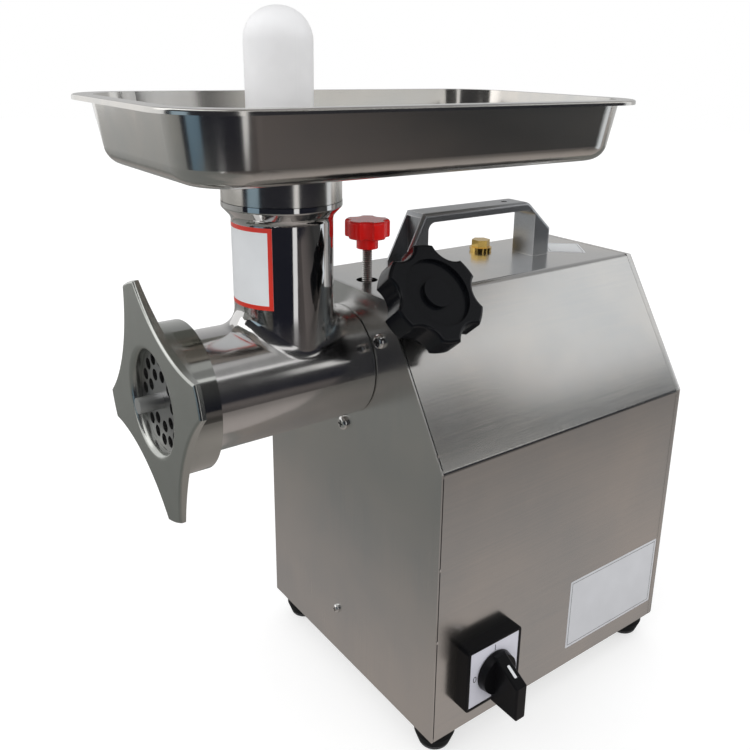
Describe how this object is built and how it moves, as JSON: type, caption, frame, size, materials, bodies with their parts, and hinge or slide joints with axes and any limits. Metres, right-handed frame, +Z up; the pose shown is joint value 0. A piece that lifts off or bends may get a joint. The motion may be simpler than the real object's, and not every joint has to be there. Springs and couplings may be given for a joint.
{
  "type": "electric meat grinder",
  "caption": "Table-top electric meat grinder: folded steel casing with motor and gears, a removable head with auger, knife and plate, feed tray, pusher and clamp knobs.",
  "frame": {"origin": "centre of the whole object's box, on the table under the feet", "axes": "+Z up, -Y the way the barrel points, +X the side with the switch"},
  "size_m": [0.259, 0.4194, 0.506],
  "materials": {
    "casing_steel": "brushed",
    "base_steel": "plain sheet",
    "foot_rubber": "matt",
    "screw_steel": "bright",
    "handle_paint": "silver paint",
    "plug_zinc": "yellow zinc",
    "cast_alloy": "cast",
    "seal_rubber": "smooth",
    "bearing_steel": "ground",
    "gear_steel": "machined",
    "lamination": "stacked",
    "copper": "varnished",
    "fan_plastic": "moulded",
    "saddle_iron": "cast",
    "can": "drawn",
    "terminal_plastic": "moulded",
    "gland_plastic": "moulded",
    "switch_black": "moulded",
    "dial_white": "printed",
    "knob_black": "moulded",
    "stud_steel": "threaded",
    "knob_red": "moulded",
    "head_polish": "polished",
    "auger_steel": "cast and ground",
    "washer_fibre": "plain",
    "cutter_steel": "ground",
    "ring_satin": "satin",
    "tray_steel": "satin",
    "pusher_plastic": "moulded"
  },
  "bodies": {
    "housing": {"main_cover": "casing_steel", "front_panel": "casing_steel", "rear_panel": "casing_steel", "base_plate": "base_steel", "rubber_foot_front_left": "foot_rubber", "rubber_foot_front_right": "foot_rubber", "rubber_foot_rear_left": "foot_rubber", "rubber_foot_rear_right": "foot_rubber", "foot_screws": "screw_steel", "front_screws": "screw_steel", "handle_screws": "screw_steel", "gearbox_bolts": "screw_steel", "carry_handle": "handle_paint", "oil_plug": "plug_zinc", "oil_plug_washer": "plug_zinc", "head_socket": "cast_alloy", "gearbox_housing": "cast_alloy", "gearbox_cover": "cast_alloy", "motor_bell_front": "cast_alloy", "motor_bell_rear": "cast_alloy", "oil_seal": "seal_rubber", "output_bearing_front": "bearing_steel", "output_bearing_rear": "bearing_steel", "idler_bearing_front": "bearing_steel", "idler_bearing_rear": "bearing_steel", "motor_bearing_front": "bearing_steel", "motor_bearing_rear": "bearing_steel", "motor_stator": "lamination", "motor_windings": "copper", "motor_saddle": "saddle_iron", "start_capacitor": "can", "capacitor_clip": "can", "terminal_block": "terminal_plastic", "cord_gland": "gland_plastic", "gland_nut": "gland_plastic", "switch_box": "switch_black", "switch_plate": "switch_black", "switch_dial": "dial_white"},
    "output": {"output_shaft": "gear_steel", "output_gear": "gear_steel"},
    "idler": {"idler_shaft": "gear_steel", "idler_gear": "gear_steel"},
    "rotor": {"motor_shaft": "gear_steel", "rotor_core": "lamination", "cooling_fan": "fan_plastic"},
    "head": {"grinder_head": "head_polish", "plate_key": "head_polish"},
    "feed_screw": {"auger": "auger_steel", "thrust_washer": "washer_fibre", "knife": "cutter_steel"},
    "plate": {"grinding_plate": "cutter_steel"},
    "ring": {"ring_nut": "ring_satin"},
    "tray": {"feed_tray": "tray_steel"},
    "pusher": {"pusher": "pusher_plastic"},
    "black_stud": {"black_stud": "stud_steel"},
    "black_knob": {"black_knob": "knob_black"},
    "red_stud": {"red_stud": "stud_steel"},
    "red_knob": {"red_knob": "knob_red"},
    "switch": {"switch_knob": "switch_black"}
  },
  "joints": [
    {"name": "output_spin", "type": "hinge", "parent": "housing", "child": "output", "pos_m": [-0.0195, 0.04275, 0.2746], "axis": [0, 1, 0], "continuous": true},
    {"name": "idler_spin", "type": "hinge", "parent": "housing", "child": "idler", "pos_m": [-0.0195, 0.08275, 0.2186], "axis": [0, 1, 0], "continuous": true},
    {"name": "rotor_spin", "type": "hinge", "parent": "housing", "child": "rotor", "pos_m": [-0.0195, 0.00275, 0.1736], "axis": [0, 1, 0], "continuous": true},
    {"name": "head_slide", "type": "slide", "parent": "housing", "child": "head", "axis": [0, -1, 0], "range_m": [0, 0.13]},
    {"name": "auger_spin", "type": "hinge", "parent": "head", "child": "feed_screw", "pos_m": [-0.0195, -0.11725, 0.2746], "axis": [0, 1, 0], "continuous": true},
    {"name": "plate_slide", "type": "slide", "parent": "head", "child": "plate", "axis": [0, -1, 0], "range_m": [0, 0.009]},
    {"name": "ring_turn", "type": "hinge", "parent": "plate", "child": "ring", "pos_m": [-0.0195, -0.19325, 0.2746], "axis": [0, -1, 0], "range_deg": [0, 1080]},
    {"name": "tray_lift", "type": "slide", "parent": "head", "child": "tray", "axis": [0, 0, 1], "range_m": [0, 0.15]},
    {"name": "pusher_lift", "type": "slide", "parent": "head", "child": "pusher", "axis": [0, 0, 1], "range_m": [0, 0.21]},
    {"name": "black_stud_slide", "type": "slide", "parent": "housing", "child": "black_stud", "axis": [0.7727, 0, 0.6347], "range_m": [0, 0.003]},
    {"name": "black_knob_turn", "type": "hinge", "parent": "black_stud", "child": "black_knob", "pos_m": [0.05005, -0.03825, 0.33173], "axis": [0.7727, 0, 0.6347], "range_deg": [0, 720]},
    {"name": "red_stud_slide", "type": "slide", "parent": "housing", "child": "red_stud", "axis": [0, 0, 1], "range_m": [0, 0.004]},
    {"name": "red_knob_turn", "type": "hinge", "parent": "red_stud", "child": "red_knob", "pos_m": [-0.0195, -0.03825, 0.36], "axis": [0, 0, 1], "range_deg": [0, 1440]},
    {"name": "switch_turn", "type": "hinge", "parent": "housing", "child": "switch", "pos_m": [0.1005, -0.01125, 0.068], "axis": [1, 0, 0], "range_deg": [0, 90]}
  ],
  "couplings": [
    {"joint": "idler_spin", "follows": "output_spin", "ratio": -3},
    {"joint": "rotor_spin", "follows": "output_spin", "ratio": 12},
    {"joint": "auger_spin", "follows": "output_spin", "ratio": 1},
    {"joint": "plate_slide", "follows": "ring_turn", "m_per_rad": 0.00047746},
    {"joint": "black_stud_slide", "follows": "black_knob_turn", "m_per_rad": 0.00023873},
    {"joint": "red_knob_turn", "follows": "red_stud_slide", "rad_per_m": 6283.2}
  ]
}
